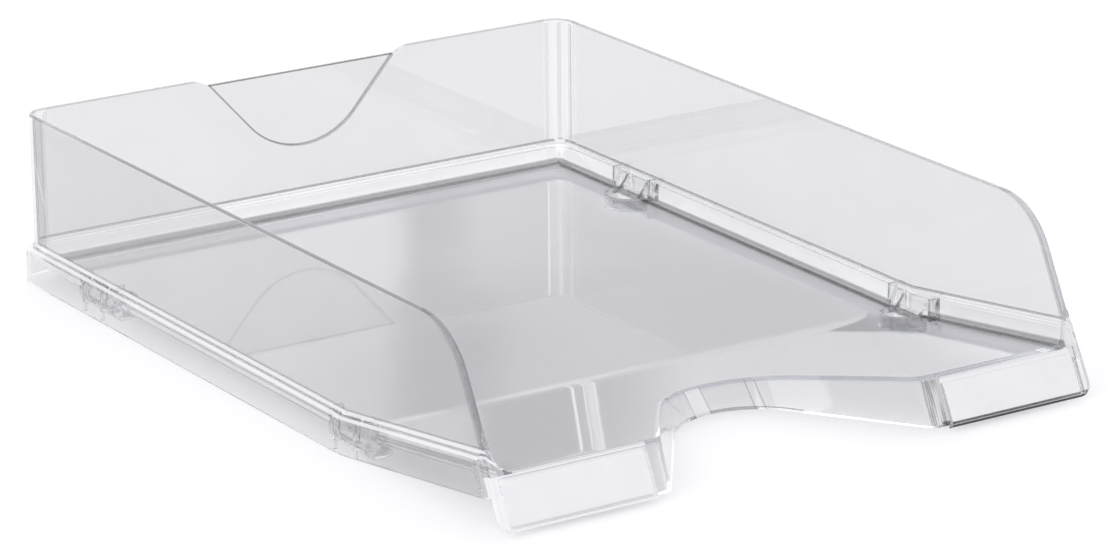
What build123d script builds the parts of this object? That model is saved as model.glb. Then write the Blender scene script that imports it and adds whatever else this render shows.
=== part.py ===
from build123d import *
import os
from math import acos, asin, atan, atan2, cos, hypot, sin, sqrt, tan

os.makedirs("parts", exist_ok=True)

# Driving dimensions in millimetres. X runs across the tray, the front faces -Y and the tray rests on Z = 0.
WIDTH = 255.0
DEPTH = 350.0
HEIGHT = 67.0
WALL = 2.0

# Section through a side: skirt, shoulder, ledge, wall, sloping band and floor
SHOULDER_Z = 11.6
SHOULDER_RUN = 3.5
LEDGE_Z = 15.5
BAND_RUN = 3.8
FLOOR_Z = 7.0
CORNER_R = 12.5

RIM_R = 0.8
SECTION_RADII = (
    (0, 0.6),
    (SHOULDER_Z, 2.0),
    (LEDGE_Z, 0.8),
    (FLOOR_Z, 1.5),
    (FLOOR_Z - WALL, 2.0),
    (SHOULDER_Z - 0.8, 0.8),
    (LEDGE_Z - 2.2, 0.4),
)

# Ramp at the front of the floor
RAMP_START = 103.5
RAMP_SLOPE = 0.135
BEND_R = 90.0

# Leaning front face and the side walls' front edges
FACE_BOTTOM_Z = 2.5
FACE_LEAN = 0.516
FACE_INNER_R = 9.0
FACE_OUTER_R = 5.0
WALL_FRONT_R = 29.0
SETBACK = 2.2
FACE_FLARE = 1.0
SKIRT_END_R = 3.7

# Grip cut-out between the two front panels
GRIP_HALF = 56.0
GRIP_R = 30.0
GRIP_CENTRE = 29.5
GRIP_CORNER_R = 6.0

# Recess in the back wall
RECESS_LOW_Z = 33.4
RECESS_R = 32.0
RECESS_HALF = 42.0
RECESS_TOP_R = 16.0
RECESS_DEPTH = 1.0
RECESS_DROP = 2.7

# Ribs up the inside of the rear corners
RIB_W = 1.6
RIB_H = 0.35

# Stacking lugs, two on each side
LUG_YS = (-74.0, 112.5)
LUG_LENGTH = 26.0
FIN_PITCH = 14.0
FIN_T = 1.4
REST_Z = 4.0
FOOT_R = 10.5
FOOT_WALL = 1.5

# Label holders and cards
LABEL_IN = 62.5
LABEL_OUT = 122.0
LIP_H = 0.8
WINDOW_TOP = 16.2
WINDOW_T = 1.2
WINDOW_R = 1.5
RAIL = 0.8
CARD_T = 0.4
CARD_GAP = 0.3
CARD_R = 1.0

half = WIDTH / 2
front = -DEPTH / 2
wall_out = half - SHOULDER_RUN
wall_in = wall_out - WALL
foot_x = wall_in - BAND_RUN
lean = atan(FACE_LEAN)
bend_y = front + RAMP_START


def ramp(y):
    """Height that the ramp adds to the floor, ledge and skirt at y."""
    return max(0.0, RAMP_SLOPE * (bend_y - y))


def face_z(height):
    """Where a ramp line that is height above the base plane meets the front face."""
    run = bend_y - front + FACE_LEAN * FACE_BOTTOM_Z
    return (height + RAMP_SLOPE * run) / (1 + RAMP_SLOPE * FACE_LEAN)


def face_s(height):
    """The same meeting point as a distance up the front face."""
    return (face_z(height) - FACE_BOTTOM_Z) / cos(lean)


def face_y(z):
    """The front face at height z."""
    return front + FACE_LEAN * (z - FACE_BOTTOM_Z)


# Outside of one side from the skirt up over the wall to the floor, and its underside
outside = [
    (half, 0),
    (half, SHOULDER_Z),
    (wall_out, LEDGE_Z),
    (wall_out, HEIGHT),
    (wall_in, HEIGHT),
    (wall_in, LEDGE_Z),
    (foot_x, FLOOR_Z),
]
underside = [
    (foot_x + 1.3, FLOOR_Z - WALL),
    (wall_in + 1.2, LEDGE_Z - 2.2),
    (half - WALL, SHOULDER_Z - 0.8),
    (half - WALL, 0),
]


def across(top):
    """Closed section of both sides and the floor with walls up to top."""
    skin = [(x, min(z, top)) for x, z in outside]
    right = skin + [(-x, z) for x, z in reversed(skin)]
    return right + [(-x, z) for x, z in reversed(underside)] + underside


def soften(profile):
    """Rounds the corners of a section, from the skirt's foot to the ledge."""
    for z, radius in SECTION_RADII:
        fillet([v for v in profile.vertices() if abs(v.Y - z) < 0.01 and abs(v.X) > 0.1], radius=radius)


# The same section about a rear corner's axis, closed at the floor
axis_x = half - CORNER_R
axis_y = DEPTH / 2 - CORNER_R
corner = [(x - axis_x, z) for x, z in outside]
corner += [(0, FLOOR_Z), (0, FLOOR_Z - WALL)]
corner += [(x - axis_x, z) for x, z in underside]


def front_outline(z, inset):
    """Plan of the tray's front at height z: two panels, the grip cut-out and the skirts' rounded ends."""
    part = (z - FACE_BOTTOM_Z) / (face_z(FLOOR_Z) - FACE_BOTTOM_Z)
    y_panel = face_y(z) + SETBACK / cos(lean)
    y_skirt = y_panel + SKIRT_END_R
    corner_x = GRIP_HALF - 1.5 * part
    radius = GRIP_R + 5.0 * part
    centre_y = front + GRIP_CENTRE + 4.0 * part
    reach = hypot(corner_x, centre_y - y_panel)
    angle = atan2(centre_y - y_panel, -corner_x) - asin(radius / reach)
    flank = sqrt(reach**2 - radius**2)
    touch = (corner_x + flank * cos(angle), y_panel + flank * sin(angle))
    with BuildSketch(Plane.XY.offset(z)) as plan:
        with BuildLine():
            Line((corner_x, y_panel), touch)
            ThreePointArc(touch, (0, centre_y + radius), (-touch[0], touch[1]))
            Line((-touch[0], touch[1]), (-corner_x, y_panel))
            Line((-corner_x, y_panel), (-wall_out, y_panel))
            CenterArc((-wall_out, y_skirt), SKIRT_END_R, 270, -90)
            Polyline(
                (-wall_out - SKIRT_END_R, y_skirt),
                (-140, y_skirt),
                (-140, 20),
                (140, 20),
                (140, y_skirt),
                (wall_out + SKIRT_END_R, y_skirt),
            )
            CenterArc((wall_out, y_skirt), SKIRT_END_R, 0, -90)
            Line((wall_out, y_panel), (corner_x, y_panel))
        make_face()
        inner_corners = [v for v in plan.vertices() if abs(abs(v.X) - corner_x) < 0.01]
        fillet(inner_corners, radius=GRIP_CORNER_R)
        if inset:
            offset(amount=-inset)
    return plan.sketch


with BuildPart() as envelope:
    add(front_outline(-3, 0))
    add(front_outline(33, 0))
    loft(ruled=True)

with BuildPart() as hollow:
    add(front_outline(-3, WALL))
    add(front_outline(33, WALL))
    loft(ruled=True)

face = Plane(origin=(0, front, FACE_BOTTOM_Z), x_dir=(1, 0, 0), z_dir=(0, -1, FACE_LEAN))
lip_s = face_s(FLOOR_Z)

with BuildPart() as tray:
    # Panels and grip wall below the ramp
    with BuildSketch(Plane.YZ):
        Polygon(
            (front - 5, FACE_BOTTOM_Z),
            (-92, FACE_BOTTOM_Z),
            (-92, FLOOR_Z - 1 + ramp(-92)),
            (front - 5, FLOOR_Z - 1 + ramp(front - 5)),
            align=None,
        )
    extrude(amount=wall_in - 1, both=True)
    # Closed front ends of the channels under the ledges
    channel_y = front + 25
    for side in (-1, 1):
        section = Plane(origin=(0, channel_y, ramp(channel_y)), x_dir=(1, 0, 0), z_dir=(0, -1, 0))
        with BuildSketch(section):
            Polygon(
                (side * (foot_x + 1), 0),
                (side * (half - 1), 0),
                (side * (half - 1), SHOULDER_Z - 1),
                (side * (wall_in + 1), LEDGE_Z - 1.5),
                (side * (foot_x + 1), FLOOR_Z - 1),
                align=None,
            )
        extrude(amount=32, dir=(0, -1, RAMP_SLOPE))
    add(hollow.part, mode=Mode.SUBTRACT)
    # Ramped front of the trough
    with BuildLine(Plane.YZ) as path:
        FilletPolyline((0, 0), (bend_y, 0), (front - 25, ramp(front - 25)), radius=BEND_R)
    with BuildSketch(Plane(origin=(0, 0, 0), x_dir=(1, 0, 0), z_dir=(0, -1, 0))) as profile:
        Polygon(*across(LEDGE_Z + 2), align=None)
        soften(profile)
    sweep(path=path.wires()[0])
    add(envelope.part, mode=Mode.INTERSECT)
    # Flat rear of the trough, its back wall and its rounded corners
    with BuildSketch(Plane(origin=(0, axis_y, 0), x_dir=(1, 0, 0), z_dir=(0, -1, 0))) as profile:
        Polygon(*across(HEIGHT), align=None)
        soften(profile)
    extrude(amount=axis_y)
    with BuildSketch(Plane(origin=(-axis_x, axis_y, 0), x_dir=(0, 1, 0), z_dir=(1, 0, 0))) as profile:
        Polygon(*corner, align=None)
        soften(profile)
    extrude(amount=2 * axis_x)
    for side in (-1, 1):
        axis_plane = Plane(origin=(side * axis_x, axis_y, 0), x_dir=(0, 1, 0), z_dir=(1, 0, 0))
        with BuildSketch(axis_plane) as profile:
            Polygon(*corner, align=None)
            soften(profile)
        revolve(axis=Axis((side * axis_x, axis_y, 0), (0, 0, -side)), revolution_arc=90)
    # Side walls in front of the middle, with their rounded upper front corners
    low_z = face_z(LEDGE_Z + 1)
    for side in (-1, 1):
        with BuildSketch(Plane.YZ.offset(side * (wall_in + WALL / 2))):
            Polygon(
                (0, HEIGHT),
                (face_y(HEIGHT), HEIGHT),
                (face_y(low_z), low_z),
                (bend_y, LEDGE_Z + 1),
                (0, LEDGE_Z + 1),
                align=None,
            )
            fillet(vertices().sort_by_distance((face_y(HEIGHT), HEIGHT))[0], radius=WALL_FRONT_R)
        extrude(amount=WALL / 2, both=True)
    # Rounded rims of the walls, along the top and down the front edges
    rims = [e for e in edges() if e.bounding_box().min.Z > low_z - 0.1 and e.length > WALL + 1]
    rims = [e for e in rims if e.bounding_box().min.Z > HEIGHT - 0.1 or e.center().Y < face_y(low_z) + 40]
    fillet(rims, radius=RIM_R)
    # Frame around each label and the webs that close the sides at the front
    for side in (-1, 1):
        with BuildSketch(face):
            Polygon(
                (side * LABEL_IN, 0),
                (side * (wall_out + FACE_FLARE), 0),
                (side * wall_out, face_s(LEDGE_Z + 3)),
                (side * wall_in, face_s(LEDGE_Z + 3)),
                (side * wall_in, lip_s),
                (side * LABEL_IN, lip_s),
                align=None,
            )
            fillet(vertices().sort_by_distance((side * wall_in, lip_s))[0], radius=FACE_INNER_R)
            fillet(vertices().sort_by_distance((side * (wall_out + FACE_FLARE), 0))[0], radius=FACE_OUTER_R)
            with Locations((side * (LABEL_IN + LABEL_OUT - 1) / 2, lip_s / 2)):
                Rectangle(LABEL_OUT - LABEL_IN + 1, lip_s - 2 * LIP_H, mode=Mode.SUBTRACT)
        extrude(amount=-(SETBACK + 0.5))

    # Three low upright ribs inside each rear corner, from the ledge to just below the rim
    for side, first in ((1, 0), (-1, 90)):
        with BuildSketch(Plane.XY.offset(LEDGE_Z + 0.5)):
            with Locations((side * axis_x, axis_y)):
                with PolarLocations(wall_in - axis_x, 3, first, 90, endpoint=True):
                    Rectangle(2 * RIB_H, RIB_W)
        extrude(amount=HEIGHT - LEDGE_Z - 2)

    # Shallow bell-shaped recess in the back wall, with a lowered edge across its top
    inner_y = DEPTH / 2 - SHOULDER_RUN - WALL
    rim_z = HEIGHT - RECESS_DROP
    centre_z = RECESS_LOW_Z + RECESS_R
    to_rim = hypot(RECESS_HALF, rim_z - centre_z)
    dip = acos(RECESS_R / to_rim) + atan2(centre_z - rim_z, RECESS_HALF)
    touch = (RECESS_R * cos(dip), centre_z - RECESS_R * sin(dip))
    mouth_x = RECESS_HALF + RECESS_DROP * tan(dip)
    for low, depth in ((RECESS_LOW_Z, RECESS_DEPTH), (rim_z, WALL)):
        with BuildSketch(Plane(origin=(0, inner_y, 0), x_dir=(1, 0, 0), z_dir=(0, -1, 0))):
            with BuildLine():
                ThreePointArc((-touch[0], touch[1]), (0, RECESS_LOW_Z), touch)
                Polyline(
                    touch,
                    (mouth_x, HEIGHT),
                    (mouth_x + 20, HEIGHT),
                    (mouth_x + 20, HEIGHT + 3),
                    (-mouth_x - 20, HEIGHT + 3),
                    (-mouth_x - 20, HEIGHT),
                    (-mouth_x, HEIGHT),
                    (-touch[0], touch[1]),
                )
            make_face()
            for side in (-1, 1):
                fillet(vertices().sort_by_distance((side * mouth_x, HEIGHT))[0], radius=RECESS_TOP_R)
            with Locations((0, low + 50)):
                Rectangle(2 * mouth_x + 50, 100, mode=Mode.INTERSECT)
        extrude(amount=-depth, mode=Mode.SUBTRACT)
    # Stacking lugs: a pocket in the band, two fins, two ribs in the channel and a hollow foot
    fin_ys = [y + step * FIN_PITCH / 2 for y in LUG_YS for step in (-1, 1)]
    for side in (-1, 1):
        for y in LUG_YS:
            with BuildSketch(Plane.XY.offset(FLOOR_Z - WALL)):
                with Locations((side * (foot_x + wall_out) / 2, y)):
                    Rectangle(wall_out - foot_x, LUG_LENGTH)
            extrude(amount=LEDGE_Z - 0.5 - FLOOR_Z + WALL)
            with BuildSketch(Plane.XY.offset(FLOOR_Z)):
                with Locations((side * (foot_x - 0.5 + wall_in) / 2, y)):
                    Rectangle(wall_in - foot_x + 0.5, LUG_LENGTH - WALL)
            extrude(amount=LEDGE_Z - FLOOR_Z + 4, mode=Mode.SUBTRACT)
            for radius, bottom, top, mode in (
                (FOOT_R, 0, FLOOR_Z - 0.1, Mode.ADD),
                (FOOT_R - FOOT_WALL, FOOT_WALL, FLOOR_Z + 3, Mode.SUBTRACT),
            ):
                flat_x = foot_x + 1.1 - FOOT_R + radius
                with BuildSketch(Plane.XY.offset(bottom)):
                    with Locations((side * (foot_x - 0.7), y)):
                        Circle(radius)
                    with Locations((side * (flat_x - 50), y)):
                        Rectangle(100, 100, mode=Mode.INTERSECT)
                extrude(amount=top - bottom, mode=mode)
        for y in fin_ys:
            with BuildSketch(Plane(origin=(0, y, 0), x_dir=(1, 0, 0), z_dir=(0, -1, 0))):
                with BuildLine():
                    Polyline(
                        (side * (wall_in + 0.5), LEDGE_Z - 1.5),
                        (side * (wall_in + 0.5), FLOOR_Z - 0.5),
                        (side * (foot_x - 1.4), FLOOR_Z - 0.5),
                        (side * (foot_x - 1.4), FLOOR_Z),
                    )
                    ThreePointArc(
                        (side * (foot_x - 1.4), FLOOR_Z),
                        (side * (wall_in - 2.2), FLOOR_Z + 2.8),
                        (side * wall_in, LEDGE_Z - 1.5),
                    )
                    Line((side * wall_in, LEDGE_Z - 1.5), (side * (wall_in + 0.5), LEDGE_Z - 1.5))
                make_face()
                Polygon(
                    (side * (foot_x + 1.1), FLOOR_Z - 1.5),
                    (side * (foot_x + 1.1), REST_Z),
                    (side * (half - 3.1), REST_Z),
                    (side * (half - 3.1), 1),
                    (side * (half - 1.5), 1),
                    (side * (half - 1.5), SHOULDER_Z),
                    (side * (wall_in + 1), LEDGE_Z - 2),
                    (side * (wall_in + 1), FLOOR_Z - 1.5),
                    align=None,
                )
            extrude(amount=FIN_T / 2, both=True)
    # Rounded bottoms of the feet
    feet = [e for e in edges() if e.bounding_box().max.Z < 0.01 and e.length > 5]
    fillet([e for e in feet if abs(e.center().X) < foot_x + 2], radius=RIM_R)

tray.part.label = "tray"
export_step(tray.part, "parts/tray.step")

# Clear label windows, each on two rails, with the card standing a little higher than the window
window_low = LIP_H + 0.1
for name, side in (("left", -1), ("right", 1)):
    near = LABEL_IN + 0.1
    far = LABEL_OUT - 0.1
    with BuildPart() as window:
        with BuildSketch(face):
            with Locations((side * (near + far) / 2, (window_low + WINDOW_TOP) / 2)):
                Rectangle(far - near, WINDOW_TOP - window_low)
            fillet(vertices().sort_by_distance((side * far, WINDOW_TOP))[0], radius=WINDOW_R)
        extrude(amount=-WINDOW_T)
        with BuildSketch(face.offset(-WINDOW_T)):
            Polygon(
                (side * near, window_low),
                (side * far, window_low),
                (side * far, WINDOW_TOP - WINDOW_R),
                (side * (far - RAIL), WINDOW_TOP - WINDOW_R),
                (side * (far - RAIL), window_low + RAIL),
                (side * near, window_low + RAIL),
                align=None,
            )
        extrude(amount=WINDOW_T - SETBACK)
    window.part.label = f"label_window_{name}"
    export_step(window.part, f"parts/label_window_{name}.step")
    card_low = window_low + RAIL + CARD_GAP
    card_high = lip_s - LIP_H - CARD_GAP
    card_far = far - RAIL - CARD_GAP
    with BuildPart() as card:
        with BuildSketch(face.offset(-WINDOW_T - CARD_GAP)):
            with Locations((side * (near + 0.5 + card_far) / 2, (card_low + card_high) / 2)):
                RectangleRounded(card_far - near - 0.5, card_high - card_low, CARD_R)
        extrude(amount=-CARD_T)
    card.part.label = f"label_card_{name}"
    export_step(card.part, f"parts/label_card_{name}.step")
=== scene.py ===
from functools import reduce
from math import acos, atan2, cos, hypot, radians, sin

import bpy
from mathutils import Matrix, Vector


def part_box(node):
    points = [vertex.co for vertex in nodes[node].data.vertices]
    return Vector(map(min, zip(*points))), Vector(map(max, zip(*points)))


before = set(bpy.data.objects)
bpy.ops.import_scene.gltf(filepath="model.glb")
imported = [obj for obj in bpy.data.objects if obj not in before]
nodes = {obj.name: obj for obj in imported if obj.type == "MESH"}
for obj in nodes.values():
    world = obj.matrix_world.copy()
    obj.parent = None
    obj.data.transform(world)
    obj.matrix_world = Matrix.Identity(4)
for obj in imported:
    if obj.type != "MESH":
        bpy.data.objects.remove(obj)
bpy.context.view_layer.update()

# The tray's box comes from the frame, and the dimensions below repeat the CAD's, in metres
low_corner, high_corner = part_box("tray")
FRONT = low_corner.y
HALF, BACK, TOP = high_corner
WALL, SHOULDER_RUN, BAND_RUN, CORNER_R = 0.002, 0.0035, 0.0038, 0.0125
FLOOR_Z, LEDGE_Z, SHOULDER_Z = 0.007, 0.0155, 0.0116
RAMP_LENGTH, RAMP_SLOPE = 0.1035, 0.135
LUG_YS, LUG_HALF, CUP_R = (-0.074, 0.1125), 0.013, 0.0098
RECESS_R, RECESS_Z, RECESS_HALF, RECESS_DROP = 0.032, 0.0654, 0.042, 0.0027
# Leaning front face: its foot and its lean
FACE_Z, FACE_LEAN = 0.0025, 0.516
# Arc over the straight front edges of the side walls, and where the two meet
ARC_Y, ARC_R, ARC_END_Z = -0.1216, 0.029, 0.0505
# Grip wall: its arc, how far that moves back and grows up the face, and the direction of its straight ends
GRIP_DEPTH, GRIP_R, GRIP_BACK, GRIP_GROWTH = 0.0295, 0.030, 0.004, 0.005
FLANK_ACROSS, FLANK_ALONG, FLANK_GROWTH = 0.75, 0.66, 0.0062
# Inner end of the label holders, and the edges of their windows
HOLDER_X = 0.0625
WINDOW_IN, WINDOW_OUT, WINDOW_LOW, WINDOW_TOP = 0.0627, 0.1219, 0.0009, 0.0162

# Worked out from these: walls, edge of the floor, rear corners, ramp, recess and front
SIDE_X, BACK_Y = HALF - SHOULDER_RUN, BACK - SHOULDER_RUN
INNER_Y = BACK_Y - WALL
FLOOR_X, FLOOR_Y = SIDE_X - WALL - BAND_RUN, INNER_Y - BAND_RUN
CORNER_X, CORNER_Y = HALF - CORNER_R, BACK - CORNER_R
INNER_R = CORNER_R - SHOULDER_RUN - WALL
RAMP_Y = FRONT + RAMP_LENGTH
RECESS_RIM = TOP - RECESS_DROP
ARC_Z = TOP - ARC_R
GRIP_Y = FRONT + GRIP_DEPTH
RAMP_RISE = RAMP_SLOPE * (RAMP_LENGTH + FACE_LEAN * FACE_Z)
FACE_HEIGHT = (FLOOR_Z + RAMP_RISE) / (1 + RAMP_SLOPE * FACE_LEAN) - FACE_Z

# Lines up the grip wall, the dark ones painted shade and the pale band whitened partly as painted highlight:
# height at which their place is given, then each one's lean, place and half width
LINES_Z = 0.0077
PALE_LEAN, PALE_X, PALE_HALF = 0.27, -0.0048, 0.0036
TWIN_LEAN, TWIN_X, TWIN_HALF = 0.115, 0.0170, 0.0015
GREY_LEAN, GREY_X, GREY_HALF = 0.26, 0.0467, 0.0013
BESIDE_X, BESIDE_HALF = 0.0200, 0.0021
# Lines along the left ledge, pale ones of painted highlight and a dark one of painted shade, and the dark
# stripe of painted shade on the left wall with the clear line that slants across it
LEDGE_PALE_ZS, LEDGE_DARK_Z = (0.0152, 0.0134), 0.0143
STRIPE_Y, STRIPE_HALF, SLANT, SLANT_Y = 0.1578, 0.0042, 0.45, 0.1396
# Limits of some places, each as two numbers: the place is 0 at the first and full at the second
LEFT, RIGHT = (0.0, -0.01), (0.0, 0.01)
LEFT_END_OUT, LEFT_END_IN, LEFT_END_BACK = (-0.0617, -0.0613), (-0.0550, -0.0560), (0.0075, 0.0070)
EDGE_IN, EDGE_TOP, EDGE_BACK = (0.0600, 0.0610), (0.0036, 0.0030), (-0.1690, -0.1700)
STREAK_IN, STREAK_TOP, STREAK_BACK = (0.0555, 0.0570), (0.0055, 0.0045), (-0.15, -0.155)
FLANK_IN, FLANK_OUT, GRIP_FRONT = (0.0280, 0.0290), (0.0575, 0.0570), (-0.150, -0.145)
LEDGE_END, FRONT_SKIRT_BACK = (0.1660, 0.1640), (-0.075, -0.1)


class Field:
    """A number that varies over a surface, made of math nodes."""

    def __init__(self, tree, socket):
        self.tree = tree
        self.socket = socket

    def apply(self, operation, *others):
        node = self.tree.nodes.new("ShaderNodeMath")
        node.operation = operation
        self.tree.links.new(self.socket, node.inputs[0])
        for socket, value in zip(node.inputs[1:], others):
            if isinstance(value, Field):
                self.tree.links.new(value.socket, socket)
            else:
                socket.default_value = value
        return Field(self.tree, node.outputs[0])

    def __add__(self, other):
        return self.apply("ADD", other)

    def __sub__(self, other):
        return self.apply("SUBTRACT", other)

    def __mul__(self, other):
        return self.apply("MULTIPLY", other)

    def size(self):
        return self.apply("ABSOLUTE")

    def high(self, other):
        return self.apply("MAXIMUM", other)

    def low(self, other):
        return self.apply("MINIMUM", other)

    def distance(self, other):
        """Length of the vector whose two parts are the fields."""
        return (self * self + other * other).apply("SQRT")

    def rise(self, start, end, low=0.0, high=1.0):
        """Goes smoothly from low at start to high at end."""
        node = self.tree.nodes.new("ShaderNodeMapRange")
        node.interpolation_type = "SMOOTHSTEP"
        self.tree.links.new(self.socket, node.inputs["Value"])
        node.inputs["From Min"].default_value = start
        node.inputs["From Max"].default_value = end
        node.inputs["To Min"].default_value = low
        node.inputs["To Max"].default_value = high
        return Field(self.tree, node.outputs["Result"])

    def near(self, middle, full, end):
        """Is 1 as far as full from middle, and falls to 0 at end."""
        return (self - middle).size().rise(end, full)


def new_material(name):
    mat = bpy.data.materials.new(name)
    mat.use_nodes = True
    tree = mat.node_tree
    tree.nodes.clear()
    out = tree.nodes.new("ShaderNodeOutputMaterial")
    return mat, tree, out


def coordinates(tree, kind="Object"):
    where = tree.nodes.new("ShaderNodeTexCoord")
    split = tree.nodes.new("ShaderNodeSeparateXYZ")
    tree.links.new(where.outputs[kind], split.inputs[0])
    return [Field(tree, split.outputs[axis]) for axis in "XYZ"]


def noise(tree, scale, detail, vector=None):
    """Noise over a vector, or over the object if none is given."""
    node = tree.nodes.new("ShaderNodeTexNoise")
    node.inputs["Scale"].default_value = scale
    node.inputs["Detail"].default_value = detail
    if vector is None:
        vector = tree.nodes.new("ShaderNodeTexCoord").outputs["Object"]
    tree.links.new(vector, node.inputs["Vector"])
    return Field(tree, node.outputs[0])


def streaks(tree, **parts):
    """Fine noise over a vector whose parts are the fields given by axis."""
    vector = tree.nodes.new("ShaderNodeCombineXYZ")
    for axis, field in parts.items():
        tree.links.new(field.socket, vector.inputs[axis])
    return noise(tree, 1, 2, vector.outputs[0])


def add_bump(tree, shader, height, strength, distance):
    node = tree.nodes.new("ShaderNodeBump")
    node.inputs["Strength"].default_value = strength
    node.inputs["Distance"].default_value = distance
    tree.links.new(height.socket, node.inputs["Height"])
    tree.links.new(node.outputs[0], shader.inputs["Normal"])


def is_ray(tree, *kinds):
    """1 for a ray of any of the kinds, and 0 for every other ray."""
    path = tree.nodes.new("ShaderNodeLightPath")
    return reduce(Field.high, [Field(tree, path.outputs[f"Is {kind} Ray"]) for kind in kinds])


def ray_depth(tree, kind):
    path = tree.nodes.new("ShaderNodeLightPath")
    return Field(tree, path.outputs[f"{kind} Depth"])


def grey(tree, level, red, blue):
    """A colour of the given level, with its red and blue scaled a little."""
    node = tree.nodes.new("ShaderNodeCombineColor")
    tree.links.new((level * red).socket, node.inputs[0])
    tree.links.new(level.socket, node.inputs[1])
    tree.links.new((level * blue).socket, node.inputs[2])
    return node.outputs[0]


def plain_shader(tree, kind, colour):
    """A diffuse or transparent shader with a fixed colour or a linked one."""
    node = tree.nodes.new(f"ShaderNodeBsdf{kind}")
    if isinstance(colour, tuple):
        node.inputs["Color"].default_value = (*colour, 1)
    else:
        tree.links.new(colour, node.inputs["Color"])
    return node.outputs[0]


def clear_shader(tree, colour, ior):
    node = tree.nodes.new("ShaderNodeBsdfPrincipled")
    tree.links.new(colour, node.inputs["Base Color"])
    node.inputs["Transmission Weight"].default_value = 1
    node.inputs["Roughness"].default_value = 0.0
    node.inputs["IOR"].default_value = ior
    return node


def glow(tree, strength):
    node = tree.nodes.new("ShaderNodeEmission")
    tree.links.new(strength.socket, node.inputs["Strength"])
    return node.outputs[0]


def add_shader(tree, first, second):
    node = tree.nodes.new("ShaderNodeAddShader")
    tree.links.new(first, node.inputs[0])
    tree.links.new(second, node.inputs[1])
    return node.outputs[0]


def mix_shader(tree, factor, first, second):
    node = tree.nodes.new("ShaderNodeMixShader")
    tree.links.new(factor.socket, node.inputs[0])
    tree.links.new(first, node.inputs[1])
    tree.links.new(second, node.inputs[2])
    return node.outputs[0]


# The functions below give masks: fields that are 1 at a place on the tray and 0 elsewhere. A mask ends
# between two close numbers, in metres. `above` is the height without what the ramp adds, and `beyond` is the
# distance past the floor's edge, less than 0 on the floor.


def section_masks(x, y, above, beyond, wall):
    """The floor, the band, the foot of the walls and the skirt."""
    across = x.size()
    under = FLOOR_Z - WALL
    floor = beyond.rise(0.0008, 0.0002) * above.rise(under - 0.0006, under - 0.0002)
    band = beyond.rise(-0.0010, 0.0) * above.rise(FLOOR_Z + 0.0006, FLOOR_Z + 0.0012)
    border = beyond.rise(-0.0030, -0.0022) * beyond.rise(0.0012, 0.0004)
    border = border * above.rise(under - 0.0006, under) * above.rise(FLOOR_Z + 0.0022, FLOOR_Z + 0.0012)
    foot = above.rise(LEDGE_Z - 0.0007, LEDGE_Z - 0.0003) * above.rise(LEDGE_Z + 0.0009, LEDGE_Z + 0.0004)
    outside = across.rise(SIDE_X, SIDE_X + 0.0005)
    low = above.rise(SHOULDER_Z + 0.0009, SHOULDER_Z - 0.0001)
    front_skirt = outside * y.rise(*FRONT_SKIRT_BACK)
    return {
        "floor": floor,
        "wall": wall,
        "band": band * above.rise(LEDGE_Z + 0.0004, LEDGE_Z),
        "border": border,
        "floor_edge": floor * beyond.rise(-0.012, 0.0),
        "foot": foot * beyond.rise(0.0028, 0.0032) * beyond.rise(0.0041, 0.0039),
        "skirt": outside.high(y.rise(BACK_Y, BACK_Y + 0.0005)) * low,
        "left_skirt": x.rise(-SIDE_X, -SIDE_X - 0.0005) * low,
        "front_skirt": front_skirt * above.rise(SHOULDER_Z - 0.0001, SHOULDER_Z - 0.0011),
    }


def back_masks(x, y, z, wall):
    """The rear corners with their ribs, the rim, and the recess in the back wall."""
    across = x.size()
    corner = (across - CORNER_X).rise(-0.0012, -0.0004) * (y - CORNER_Y).rise(-0.0012, -0.0004) * wall
    from_axis = (across - CORNER_X).distance(y - CORNER_Y)
    # The recess's outline is an arc that goes on as a straight tangent on each side
    rim_z = RECESS_RIM - RECESS_Z
    dip = acos(RECESS_R / hypot(RECESS_HALF, rim_z)) + atan2(-rim_z, RECESS_HALF)
    up = z - RECESS_Z
    straight_part = across * cos(dip) - up * sin(dip)
    past_arc = (across * sin(dip) + up * cos(dip)).rise(-0.0001, 0.0001)
    shape = across.distance(up) * (past_arc * -1 + 1) + straight_part * past_arc
    inner_face = y.rise(INNER_Y - 0.0005, INNER_Y)
    outline = shape.near(RECESS_R, 0.0002, 0.00055) * inner_face
    thin_rim = z.rise(RECESS_RIM - 0.0009, RECESS_RIM - 0.0004) * inner_face
    stripe = x.rise(-SIDE_X + 0.0010, -SIDE_X + 0.0005) * y.near(STRIPE_Y, STRIPE_HALF - 0.0008, STRIPE_HALF)
    off_slant = (y - z * SLANT - SLANT_Y).size().rise(0.0004, 0.0008)
    return {
        "corner": corner,
        "rib": corner * from_axis.rise(INNER_R - 0.0001, INNER_R - 0.0002),
        "rim": z.rise(TOP - 0.0008, TOP - 0.0003),
        "outline": outline * z.rise(RECESS_RIM + 0.0008, RECESS_RIM),
        "thin_rim": thin_rim * across.rise(RECESS_HALF + 0.0002, RECESS_HALF - 0.0002),
        "stripe": stripe * off_slant * wall,
    }


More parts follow.
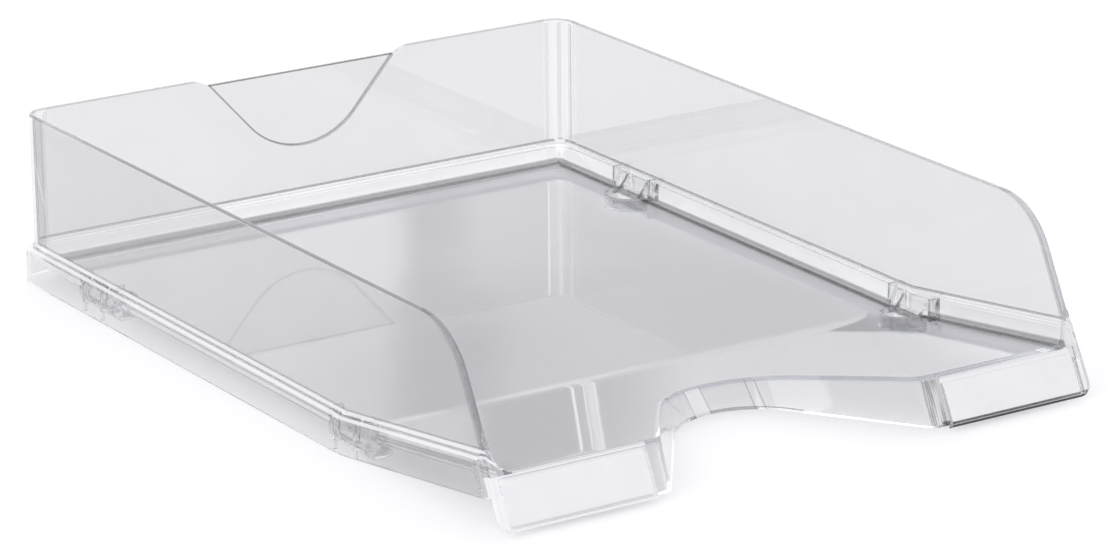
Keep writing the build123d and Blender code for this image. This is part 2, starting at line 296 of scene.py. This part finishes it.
def side_masks(x, y, above, beyond):
    """The lugs with their cups, and the lines along the left ledge."""
    across = x.size()
    from_lug = reduce(Field.low, [(y - lug_y).size() for lug_y in LUG_YS])
    lug = from_lug.rise(LUG_HALF + 0.0015, LUG_HALF + 0.0005) * above.rise(LEDGE_Z + 0.0010, LEDGE_Z)
    whole_lug = lug * beyond.rise(-0.0020, -0.0015) * above.rise(0.0008, 0.0012)
    pocket = lug * beyond.rise(-0.0012, -0.0006) * beyond.rise(0.0045, 0.0041)
    cup = from_lug.distance(across - FLOOR_X).near(CUP_R, 0.0010, 0.0014)
    cup = cup * across.rise(FLOOR_X + 0.0004, FLOOR_X)
    ledge = x.rise(-SIDE_X + 0.0004, -SIDE_X) * y.rise(*LEDGE_END)
    pale_lines = reduce(Field.high, [above.near(line_z, 0.0004, 0.0006) for line_z in LEDGE_PALE_ZS])
    return {
        "lug": pocket * above.rise(FLOOR_Z - 0.0006, FLOOR_Z),
        "left_lug": whole_lug * x.rise(*LEFT) * across.rise(SIDE_X - 0.0006, SIDE_X - 0.0010),
        "cup": cup * above.rise(FLOOR_Z + 0.0002, FLOOR_Z + 0.0001) * above.rise(0.0006, 0.0010),
        "ledge_white": ledge * pale_lines,
        "ledge_dark": ledge * above.near(LEDGE_DARK_Z, 0.0002, 0.0004),
    }


def front_masks(x, y, z, above, wall):
    """The front edges of the side walls, the label holders and the grip wall."""
    across = x.size()
    behind_face = y - FRONT - (z - FACE_Z) * FACE_LEAN
    face = behind_face.rise(0.0030, 0.0027)
    below_top = above.rise(FLOOR_Z - 0.0006, FLOOR_Z - 0.0010)
    straight_edge = behind_face.rise(0.0033, 0.0029) * z.rise(ARC_END_Z + 0.0015, ARC_END_Z) * wall
    round_edge = (y - ARC_Y).distance(z - ARC_Z).rise(ARC_R - 0.0007, ARC_R - 0.0003)
    round_edge = round_edge * y.rise(ARC_Y, ARC_Y - 0.0010) * z.rise(ARC_END_Z, ARC_END_Z + 0.0015)
    holder = face * across.rise(HOLDER_X - 0.0010, HOLDER_X - 0.0005)
    holder = holder * above.rise(FLOOR_Z - 0.00005, FLOOR_Z - 0.0002)
    left_end = x.rise(*LEFT_END_OUT) * x.rise(*LEFT_END_IN) * behind_face.rise(*LEFT_END_BACK)
    streak = streaks(x.tree, X=x * STREAKS_ACROSS, Z=z * STREAKS_UP).rise(*STREAK_SPAN)
    streak = streak * x.rise(*STREAK_IN) * x.rise(HOLDER_X, HOLDER_X - 0.0010)
    # The grip wall is round in the middle and straight at its ends, and widens up the face
    part = (z - FACE_Z) * (1 / FACE_HEIGHT)
    back = y - part * GRIP_BACK - GRIP_Y
    from_arc = x.distance(back) - part * GRIP_GROWTH
    grip = from_arc.near(GRIP_R, 0.0004, 0.0006) * below_top * y.rise(*GRIP_FRONT)
    from_flank = (across * -1 + GRIP_R) * FLANK_ACROSS - (y - GRIP_Y) * FLANK_ALONG + part * FLANK_GROWTH
    flank = from_flank.size().rise(0.0012, 0.0010) * across.rise(*FLANK_IN) * across.rise(*FLANK_OUT)
    flank = flank * below_top
    # Lines up the grip wall
    up = z - LINES_Z
    from_pale = (x + up * PALE_LEAN - PALE_X).size()
    from_twin = (x + up * TWIN_LEAN - TWIN_X).size()
    from_grey = (x + up * GREY_LEAN - GREY_X).size()
    fine_lines = (from_pale - PALE_HALF).size().low((from_twin - TWIN_HALF).size()).rise(0.00028, 0.00014)
    return {
        "front_rim": round_edge.high(straight_edge),
        "holder": holder * x.rise(*LEFT),
        "right_holder": holder * x.rise(*RIGHT),
        "step": x.near(-HOLDER_X, 0.0004, 0.0006) * face * below_top,
        "left_end": left_end * below_top,
        "edge": x.rise(*EDGE_IN) * z.rise(*EDGE_TOP) * y.rise(*EDGE_BACK),
        "streak": streak * above.rise(*STREAK_TOP) * y.rise(*STREAK_BACK),
        "left_flank": flank * x.rise(*LEFT),
        "foot_line": z.rise(FACE_Z + 0.0013, FACE_Z + 0.0009) * grip.high(flank),
        "pale": from_pale.rise(PALE_HALF, PALE_HALF - 0.0004) * grip,
        "grip_lines": fine_lines * grip,
        "grey_grip_line": from_grey.rise(GREY_HALF, GREY_HALF - 0.0002) * flank,
        "beside": x.near(BESIDE_X, BESIDE_HALF - 0.0004, BESIDE_HALF) * grip,
    }


def tray_masks(x, y, z):
    ramp = ((y * -1 + RAMP_Y) * RAMP_SLOPE).high(0)
    above = z - ramp
    beyond = (x.size() - FLOOR_X).high(y - FLOOR_Y)
    wall = above.rise(LEDGE_Z + 0.0002, LEDGE_Z + 0.0008)
    return {
        **section_masks(x, y, above, beyond, wall),
        **back_masks(x, y, z, wall),
        **side_masks(x, y, above, beyond),
        **front_masks(x, y, z, above, wall),
    }


# Share of light that the plastic lets through, by part, and what some places lose of it. The differences
# between the parts are painted shade, and so are the losses along the floor's edge and on the skirts
TRIM_TINT, FLOOR_TINT, WALL_TINT, CORNER_TINT, RIB_TINT = 0.975, 0.92, 0.81, 0.90, 0.66
PAINTED_SHADE_LOSSES = {"floor_edge": 0.2, "skirt": 0.02, "front_skirt": 0.13, "left_skirt": 0.12}
# Noise in the plastic: its scales, the span of it that counts, and what it does to the tint and the surface
CLOUD_SCALE, CLOUD_SPAN, CLOUD_TINT, CLOUD_BUMP = 18, (0.3, 0.7), 0.98, (0.3, 0.0002)
SCUFFS_ACROSS, SCUFFS_ALONG, SCUFF_SPAN, SCUFF_LOSS = 500, 9, (0.58, 0.72), 0.02
STREAKS_ACROSS, STREAKS_UP, STREAK_SPAN = 1500, 60, (0.35, 0.65)
# Painted shade: edges, lines and other small places let this share of the rest through, which paints them
# dark
PAINTED_SHADE_LINES = {
    "border": 0.3,
    "outline": 0.4,
    "foot": 0.3,
    "rim": 0.55,
    "front_rim": 0.55,
    "right_holder": 0.85,
    "edge": 0.06,
    "streak": 0.25,
    "thin_rim": 0.3,
    "grip_lines": 0.45,
    "grey_grip_line": 0.8,
    "foot_line": 0.25,
    "stripe": 0.6,
    "step": 0.15,
    "left_flank": 0.75,
    "left_end": 0.85,
    "ledge_dark": 0.5,
    "cup": 0.75,
    "beside": 0.82,
}
# Blue against green, in the floor, in the rest of the tray, and in the shadows and windows
FLOOR_COOL, COOL, SHADE_COOL = 1.03, 1.003, 1.005
# How frosted some places are: a white diffuse mix that is partly frost and partly painted highlight
FROST_AND_HIGHLIGHTS = {"holder": 0.85, "pale": 0.6, "left_lug": 0.2, "ledge_white": 0.7}
FROST_HIGHLIGHT_COLOUR = (0.97, 0.97, 0.985)
PLASTIC_IOR, DYE_COLOUR, DYE_DENSITY = 1.57, (0.42, 0.44, 0.52), 9
# Share of light in the shadow under each part
TRIM_SHADE, WALL_SHADE, FLOOR_SHADE = 0.97, 0.93, 0.77
# A light path with more reflections than this goes straight through, with a colour of its own
MOST_REFLECTIONS, DEEP_TRAY, DEEP_WINDOW = 3.5, (0.925, 0.93, 0.938), (0.85, 0.85, 0.87)
# Painted reflection: in reflections the band is painted black, the lugs are painted dark and the corner ribs
# glow with a painted glint
BAND_DARK, LUG_DARK, RIB_PAINTED_GLINT = 1.0, 0.4, 0.38
# Windows: tint of the clear face and of its smears, and how much painted shade darkens the cut edges on each
# side
WINDOW_IOR, WINDOW_TINT, WINDOW_SHADE = 1.49, 0.985, (0.98, 0.98, 0.98)
SMEAR_SCALE, SMEAR_SPAN, SMEAR_TINT, LEFT_CUT_SHADE, RIGHT_CUT_SHADE = 60, (0.35, 0.65), 0.985, 0.07, 0.5
# Card: what its fibres and blotches do to its level and roughness, and its red and blue against green
FIBRE_SCALE, FIBRE_SPAN, FIBRE_LEVELS, FIBRE_BUMP = 900, (0.3, 0.7), (0.96, 0.99), (0.15, 0.00005)
BLOTCH_SCALE, BLOTCH_SPAN, BLOTCH_LEVELS, BLOTCH_ROUGHNESS = 90, (0.3, 0.7), (0.985, 1.0), (0.6, 0.75)
CARD_WARM, CARD_COOL = 1.005, 1.02


def end_long_paths(tree, surface, colour):
    many = ray_depth(tree, "Glossy").apply("GREATER_THAN", MOST_REFLECTIONS)
    return mix_shader(tree, many, surface, plain_shader(tree, "Transparent", colour))


def let_light_through(tree, surface, colour):
    """Shadow and diffuse rays go straight through the surface and take the colour of its shade."""
    lit = is_ray(tree, "Shadow", "Diffuse")
    return mix_shader(tree, lit, surface, plain_shader(tree, "Transparent", colour))


def by_part(on, trim, floor, wall):
    """One number on the floor, one on the walls and one on the rest of the tray."""
    return on["floor"].rise(0, 1, trim, floor) + on["wall"] * (wall - trim)


def tray_tint_and_shade(tree, on, clouds, scuffs):
    """Colour of the light that the tray lets through, with painted shade by part and along edges and lines.
    """
    # Painted shade: walls, floor and corner ribs get their own shares, and the floor's edge and the skirts
    # lose more
    tint = by_part(on, TRIM_TINT, FLOOR_TINT, WALL_TINT)
    tint = tint + on["corner"] * (CORNER_TINT - WALL_TINT) - on["rib"] * (CORNER_TINT - RIB_TINT)
    for place, loss in PAINTED_SHADE_LOSSES.items():
        tint = tint - on[place] * loss
    tint = tint * clouds.rise(*CLOUD_SPAN, CLOUD_TINT, 1.0)
    tint = tint - scuffs.rise(*SCUFF_SPAN) * on["floor"] * SCUFF_LOSS
    # Painted shade: dark lines along edges, rims, outlines and the grip wall
    for place, share in PAINTED_SHADE_LINES.items():
        tint = tint * on[place].rise(0, 1, 1, share)
    return grey(tree, tint, 1.0, on["floor"].rise(0, 1, COOL, FLOOR_COOL))


def tray_plastic(name):
    """Clear polystyrene that refracts, with faint clouds, scuffs and waves, and with painted shade, painted
    highlights and painted reflections.
    """
    mat, tree, out = new_material(name)
    x, y, z = coordinates(tree)
    on = tray_masks(x, y, z)
    clouds = noise(tree, CLOUD_SCALE, 3)
    scuffs = streaks(tree, X=x * SCUFFS_ACROSS, Y=y * SCUFFS_ALONG)
    glass = clear_shader(tree, tray_tint_and_shade(tree, on, clouds, scuffs), PLASTIC_IOR)
    add_bump(tree, glass, clouds, *CLOUD_BUMP)
    # Painted highlight, partly frost: a white diffuse mix whitens these places
    frost_and_highlight = reduce(Field.high, [on[place] * share for place, share in FROST_AND_HIGHLIGHTS.items()])
    surface = mix_shader(tree, frost_and_highlight, glass.outputs[0], plain_shader(tree, "Diffuse", FROST_HIGHLIGHT_COLOUR))
    surface = end_long_paths(tree, surface, DEEP_TRAY)
    reflected = is_ray(tree, "Reflection")
    # A reflection that is seen through air has passed through an even number of surfaces
    mirrored = reflected * ray_depth(tree, "Transmission").apply("MODULO", 2).rise(0.6, 0.4)
    # Painted reflection: mirrored views show the band black and the lugs dark, and the corner ribs get a
    # painted glint
    dark = (mirrored * on["band"] * BAND_DARK).high(reflected * on["lug"] * LUG_DARK)
    surface = mix_shader(tree, dark, surface, plain_shader(tree, "Transparent", (0.0, 0.0, 0.0)))
    surface = add_shader(tree, surface, glow(tree, mirrored * on["rib"] * RIB_PAINTED_GLINT))
    shade = by_part(on, TRIM_SHADE, FLOOR_SHADE, WALL_SHADE)
    surface = let_light_through(tree, surface, grey(tree, shade, 1.0, SHADE_COOL))
    tree.links.new(surface, out.inputs["Surface"])
    dye = tree.nodes.new("ShaderNodeVolumeAbsorption")
    dye.inputs["Color"].default_value = (*DYE_COLOUR, 1)
    dye.inputs["Density"].default_value = DYE_DENSITY
    tree.links.new(dye.outputs[0], out.inputs["Volume"])
    return mat


def window_plastic(name):
    """Clear window plate with faint smears, whose cut edges are darkened by painted shade, more on the right
    than on the left.
    """
    mat, tree, out = new_material(name)
    x, y, z = coordinates(tree)
    across = x.size()
    up = (z - FACE_Z) * hypot(1, FACE_LEAN)
    ends = across.rise(WINDOW_IN + 0.0003, WINDOW_IN).high(across.rise(WINDOW_OUT - 0.0003, WINDOW_OUT))
    cut = ends.high(up.rise(WINDOW_LOW + 0.0003, WINDOW_LOW)).high(up.rise(WINDOW_TOP - 0.0002, WINDOW_TOP))
    # Painted shade along the cut edges
    tint = (cut * x.rise(-0.01, 0.01, LEFT_CUT_SHADE, RIGHT_CUT_SHADE)).rise(0, 1, WINDOW_TINT, 0.0)
    tint = tint * noise(tree, SMEAR_SCALE, 4).rise(*SMEAR_SPAN, SMEAR_TINT, 1.0)
    glass = clear_shader(tree, grey(tree, tint, 1.0, SHADE_COOL), WINDOW_IOR)
    surface = end_long_paths(tree, glass.outputs[0], DEEP_WINDOW)
    surface = let_light_through(tree, surface, WINDOW_SHADE)
    tree.links.new(surface, out.inputs["Surface"])
    return mat


def card_paper(name):
    """White card with a faint fibre in its colour and surface."""
    mat, tree, out = new_material(name)
    fibres = noise(tree, FIBRE_SCALE, 6)
    blotches = noise(tree, BLOTCH_SCALE, 3)
    level = fibres.rise(*FIBRE_SPAN, *FIBRE_LEVELS) * blotches.rise(*BLOTCH_SPAN, *BLOTCH_LEVELS)
    paper = tree.nodes.new("ShaderNodeBsdfPrincipled")
    tree.links.new(grey(tree, level, CARD_WARM, CARD_COOL), paper.inputs["Base Color"])
    tree.links.new(blotches.rise(*BLOTCH_SPAN, *BLOTCH_ROUGHNESS).socket, paper.inputs["Roughness"])
    add_bump(tree, paper, fibres, *FIBRE_BUMP)
    tree.links.new(paper.outputs[0], out.inputs["Surface"])
    return mat


def assign(node, mat):
    for slot in nodes[node].material_slots:
        slot.material = mat


GROUND_SIZE, GROUND_GAP, GROUND_COLOUR, GROUND_GLOW = 12, 0.0002, (0.93, 0.93, 0.93), 0.15


def make_ground():
    """White ground, a little brighter where it is seen than where it lights the tray."""
    bpy.ops.mesh.primitive_plane_add(size=GROUND_SIZE, location=(0, 0, -GROUND_GAP))
    ground = bpy.context.object
    ground.name = "ground"
    mat, tree, out = new_material("ground white")
    seen = is_ray(tree, "Camera", "Glossy", "Transmission")
    white = plain_shader(tree, "Diffuse", GROUND_COLOUR)
    tree.links.new(add_shader(tree, white, glow(tree, seen * GROUND_GLOW)), out.inputs["Surface"])
    ground.data.materials.append(mat)


# Brightness of the panel behind the tray: at each height in metres, levels at places along X
PANEL_CENTRE, PANEL_WIDTH, PANEL_HEIGHT = (0.9, 1.275, 0.425), 2.4, 0.75
PANEL_LEVELS = {
    0.22: {-0.3: 1.1, 0.4: 1.2, 0.69: 1.1, 0.715: 0.5, 0.80: 0.55, 0.83: 0.7, 0.88: 1.05, 2.1: 0.9},
    0.43: {-0.3: 1.2, 0.4: 1.6, 0.70: 1.35, 0.718: 0.68, 0.745: 0.75, 0.77: 1.02, 1.2: 1.0, 2.1: 0.9},
    0.53: {
        -0.3: 1.1,
        0.4: 1.45,
        0.62: 1.15,
        0.69: 0.95,
        0.715: 0.45,
        0.765: 0.4,
        0.80: 0.6,
        0.86: 0.68,
        1.0: 0.66,
        2.1: 0.65,
    },
}


def panel_row(tree, along, stops):
    """Brightness along the panel at one height. The ramp holds the levels halved, because some are over 1."""
    ramp = tree.nodes.new("ShaderNodeValToRGB")
    elements = ramp.color_ramp.elements
    elements.remove(elements[1])
    for number, (place, level) in enumerate(stops.items()):
        at = (place - PANEL_CENTRE[0]) / PANEL_WIDTH + 0.5
        stop = elements.new(at) if number else elements[0]
        stop.position = at
        stop.color = (level / 2, level / 2, level / 2, 1)
    tree.links.new(along.socket, ramp.inputs[0])
    return Field(tree, ramp.outputs[0])


def make_panel(name):
    """A glowing studio panel behind the tray that shows only in reflections."""
    w, h = PANEL_WIDTH / 2, PANEL_HEIGHT / 2
    mesh = bpy.data.meshes.new(name)
    mesh.from_pydata([(-w, 0, -h), (w, 0, -h), (w, 0, h), (-w, 0, h)], [], [(0, 1, 2, 3)])
    plane = bpy.data.objects.new(name, mesh)
    bpy.context.collection.objects.link(plane)
    plane.location = PANEL_CENTRE
    mat, tree, out = new_material(name)
    x, y, z = coordinates(tree)
    along = x * (1 / PANEL_WIDTH) + 0.5
    heights = list(PANEL_LEVELS)
    level = panel_row(tree, along, PANEL_LEVELS[heights[0]])
    for below, height in zip(heights, heights[1:]):
        blend = z.rise(below - PANEL_CENTRE[2], height - PANEL_CENTRE[2])
        level = level + (panel_row(tree, along, PANEL_LEVELS[height]) - level) * blend
    tree.links.new(glow(tree, level * 2), out.inputs["Surface"])
    mesh.materials.append(mat)
    plane.visible_camera = False
    plane.visible_shadow = False


# Sky that lights the tray: where its shade starts and ends, going up, with the colour at each
SKY = (0.35, (0.85, 0.85, 0.86)), (0.9, (0.5, 0.5, 0.53))


def make_world():
    """Pale studio that darkens upwards where it lights the tray, and is white where it is seen."""
    world = bpy.data.worlds.new("studio")
    bpy.context.scene.world = world
    world.use_nodes = True
    tree = world.node_tree
    tree.nodes.clear()
    x, y, z = coordinates(tree, "Generated")
    ramp = tree.nodes.new("ShaderNodeValToRGB")
    for stop, (position, colour) in zip(ramp.color_ramp.elements, SKY):
        stop.position = position
        stop.color = (*colour, 1)
    tree.links.new(z.socket, ramp.inputs[0])
    pick = tree.nodes.new("ShaderNodeMix")
    pick.data_type = "RGBA"
    tree.links.new(is_ray(tree, "Camera", "Glossy", "Transmission").socket, pick.inputs["Factor"])
    tree.links.new(ramp.outputs[0], pick.inputs["A"])
    pick.inputs["B"].default_value = (1, 1, 1, 1)
    background = tree.nodes.new("ShaderNodeBackground")
    tree.links.new(pick.outputs["Result"], background.inputs["Color"])
    out = tree.nodes.new("ShaderNodeOutputWorld")
    tree.links.new(background.outputs[0], out.inputs["Surface"])


# Square lamps: the width of each, and each one's place and power in watts
LAMP_WIDTH = 2.6
LAMPS = {"key": ((-1.5, -0.8, 1.8), 23), "fill": ((1.6, 1.0, 1.8), 14)}


def make_lamp(name, place, power):
    """A lamp that faces the tray."""
    data = bpy.data.lights.new(name, "AREA")
    data.shape = "SQUARE"
    data.size = LAMP_WIDTH
    data.energy = power
    lamp = bpy.data.objects.new(name, data)
    bpy.context.collection.objects.link(lamp)
    lamp.location = place
    lamp.rotation_euler = (-Vector(place)).to_track_quat("-Z", "Y").to_euler()


# Camera at the front left: its place, its angles in degrees and its long focal length in millimetres
CAMERA_PLACE, YAW, PITCH, ROLL, FOCAL_LENGTH = (-0.9418, -1.4758, 0.5902), 32.774, 17.917, -0.57, 160.8


def make_camera():
    yaw, pitch, roll = radians(YAW), radians(PITCH), radians(ROLL)
    forward = Vector((sin(yaw) * cos(pitch), cos(yaw) * cos(pitch), -sin(pitch)))
    level = Vector((cos(yaw), -sin(yaw), 0))
    above = level.cross(forward)
    right = cos(roll) * level + sin(roll) * above
    up = -sin(roll) * level + cos(roll) * above
    lens = bpy.data.cameras.new("camera")
    lens.sensor_width = 36
    lens.lens = FOCAL_LENGTH
    lens.clip_start = 0.01
    lens.clip_end = 20
    camera = bpy.data.objects.new("camera", lens)
    bpy.context.collection.objects.link(camera)
    turn = Matrix((right, up, -forward)).transposed().to_4x4()
    camera.matrix_world = Matrix.Translation(CAMERA_PLACE) @ turn
    bpy.context.scene.camera = camera


plastic = tray_plastic("clear polystyrene")
window = window_plastic("clear window")
paper = card_paper("card")
assign("tray", plastic)
for side in ("left", "right"):
    assign(f"label_window_{side}", window)
    assign(f"label_card_{side}", paper)

make_ground()
make_panel("back_panel")
make_world()
for lamp_name, (place, power) in LAMPS.items():
    make_lamp(lamp_name, place, power)
make_camera()
bpy.context.scene.view_settings.view_transform = "Standard"
